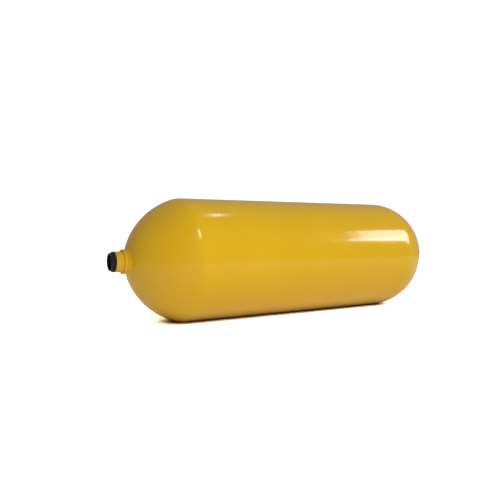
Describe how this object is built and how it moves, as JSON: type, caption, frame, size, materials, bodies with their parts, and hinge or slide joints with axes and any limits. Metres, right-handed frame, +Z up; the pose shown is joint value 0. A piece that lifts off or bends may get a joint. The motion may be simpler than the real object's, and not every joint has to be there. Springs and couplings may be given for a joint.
{
  "type": "scuba tank",
  "caption": "Lying seamless steel diving cylinder with a rounded shoulder and base, a slender threaded neck with a shrunk-on ring, and a black screw-in transport plug with its seal.",
  "frame": {"origin": "on the line that the wall rests on, under the middle of the overall length", "axes": "the cylinder's axis runs along X at the wall's radius above the floor, the neck points to -X and +Z is up"},
  "size_m": [0.6428, 0.204, 0.2039],
  "materials": {
    "yellow_enamel": "glossy yellow enamel on steel",
    "ring_enamel": "glossy yellow enamel on steel",
    "seal_rubber": "matte black nitrile rubber",
    "black_plastic": "black moulded polyethylene, slightly satin"
  },
  "bodies": {
    "tank": {"cylinder_shell": "yellow_enamel", "neck_ring": "ring_enamel"},
    "seal": {"plug_o_ring": "seal_rubber"},
    "plug": {"neck_plug": "black_plastic"}
  },
  "joints": [
    {"name": "plug_travel", "type": "slide", "parent": "tank", "child": "seal", "axis": [-1, 0, 0], "range_m": [0, 0.018]},
    {"name": "plug_turn", "type": "hinge", "parent": "seal", "child": "plug", "pos_m": [-0.31467, 0, 0.102], "axis": [-1, 0, 0], "range_deg": [0, 4320]}
  ],
  "couplings": [
    {"joint": "plug_travel", "follows": "plug_turn", "m_per_rad": 0.00023873}
  ]
}
